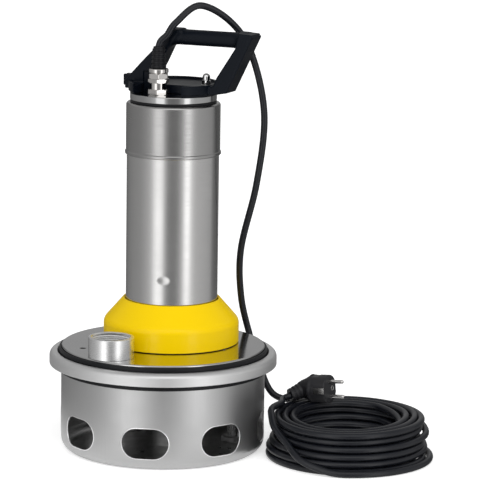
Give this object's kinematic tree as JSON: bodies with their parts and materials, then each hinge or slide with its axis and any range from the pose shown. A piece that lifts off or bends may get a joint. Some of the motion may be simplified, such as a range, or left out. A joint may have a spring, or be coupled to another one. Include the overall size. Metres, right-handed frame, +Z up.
{
  "type": "submersible sump pump",
  "caption": "Submersible sump pump: motor column on a slotted strainer base, yellow oil housing, threaded outlet, carry handle and coiled cable with plug.",
  "frame": {"origin": "centre of the strainer base where it rests on the floor", "axes": "+Z up along the motor's axis, +X along the handle's grip, the outlet stands towards -Y"},
  "size_m": [0.4755, 0.3119, 0.5643],
  "materials": {
    "satin_steel": "satin, spun marks",
    "plate_steel": "semi-bright rolled sheet",
    "machined_steel": "turned",
    "brushed_tube": "brushed round the axis",
    "polished_steel": "polished",
    "fastener_steel": "bright fastener",
    "bright_nut": "polished",
    "spring_steel": "drawn",
    "bearing_steel": "ground",
    "shaft_steel": "ground",
    "lamination_steel": "stacked laminations",
    "cast_grey": "cast",
    "cast_aluminium": "cast",
    "yellow_paint": "gloss",
    "copper_winding": "varnished enamelled wire",
    "brass_cage": "pressed",
    "seal_carbon": "carbon ring",
    "seal_ceramic": "ceramic ring, lapped",
    "black_rubber": "satin",
    "cable_rubber": "satin sheath",
    "plug_rubber": "moulded",
    "handle_plastic": "moulded, satin",
    "capacitor_white": "moulded",
    "terminal_plastic": "moulded",
    "nickel_plate": "nickel plated brass",
    "pin_brass": "nickel plated brass"
  },
  "bodies": {
    "root": {"strainer_can": "satin_steel", "rim_ring": "satin_steel", "rim_gasket": "black_rubber", "skirt_seal": "black_rubber", "cover_plate": "plate_steel", "outlet_socket": "machined_steel", "collar_gasket": "black_rubber", "volute_casing": "cast_grey", "riser_gasket": "black_rubber", "suction_cover": "cast_grey", "cover_screws": "fastener_steel", "pump_bolts": "fastener_steel", "stay_bolts": "fastener_steel", "stay_spacers": "machined_steel", "seal_seat": "seal_ceramic", "oil_housing": "yellow_paint", "housing_oring": "black_rubber", "lip_seal": "black_rubber", "lower_bracket": "cast_aluminium", "bearing_circlip": "spring_steel", "lower_outer_race": "bearing_steel", "stator_core": "lamination_steel", "stator_winding": "copper_winding", "motor_tube": "brushed_tube", "upper_bracket": "cast_aluminium", "upper_outer_race": "bearing_steel", "wave_spring": "spring_steel", "head_sleeve": "brushed_tube", "run_capacitor": "capacitor_white", "capacitor_clamp": "fastener_steel", "terminal_block": "terminal_plastic", "lid_seal": "black_rubber", "lid": "polished_steel", "tie_studs": "fastener_steel", "stud_washers": "fastener_steel", "acorn_nuts": "bright_nut", "carry_handle": "handle_plastic", "gland_body": "nickel_plate", "gland_grommet": "black_rubber", "gland_nut": "nickel_plate", "cable_boot": "black_rubber", "power_cable": "cable_rubber", "plug_body": "plug_rubber", "plug_pins": "pin_brass", "earth_contacts": "pin_brass"},
    "rotor": {"shaft": "shaft_steel", "rotor_core": "lamination_steel", "squirrel_cage": "cast_aluminium", "impeller": "cast_grey", "impeller_nut": "fastener_steel", "impeller_washer": "fastener_steel", "impeller_key": "fastener_steel", "seal_spring": "spring_steel", "seal_face": "seal_carbon", "lower_inner_race": "bearing_steel", "upper_inner_race": "bearing_steel"},
    "lower_cage": {"lower_cage": "brass_cage", "lower_balls": "bearing_steel"},
    "upper_cage": {"upper_cage": "brass_cage", "upper_balls": "bearing_steel"}
  },
  "joints": [
    {"name": "rotor_spin", "type": "hinge", "parent": "root", "child": "rotor", "pos_m": [0, 0.0235, 0.2], "axis": [0, 0, 1], "continuous": true},
    {"name": "lower_cage_spin", "type": "hinge", "parent": "root", "child": "lower_cage", "pos_m": [0, 0.0235, 0.185], "axis": [0, 0, 1], "continuous": true},
    {"name": "upper_cage_spin", "type": "hinge", "parent": "root", "child": "upper_cage", "pos_m": [0, 0.0235, 0.358], "axis": [0, 0, 1], "continuous": true}
  ],
  "couplings": [
    {"joint": "lower_cage_spin", "follows": "rotor_spin", "ratio": 0.3836},
    {"joint": "upper_cage_spin", "follows": "rotor_spin", "ratio": 0.3842}
  ]
}
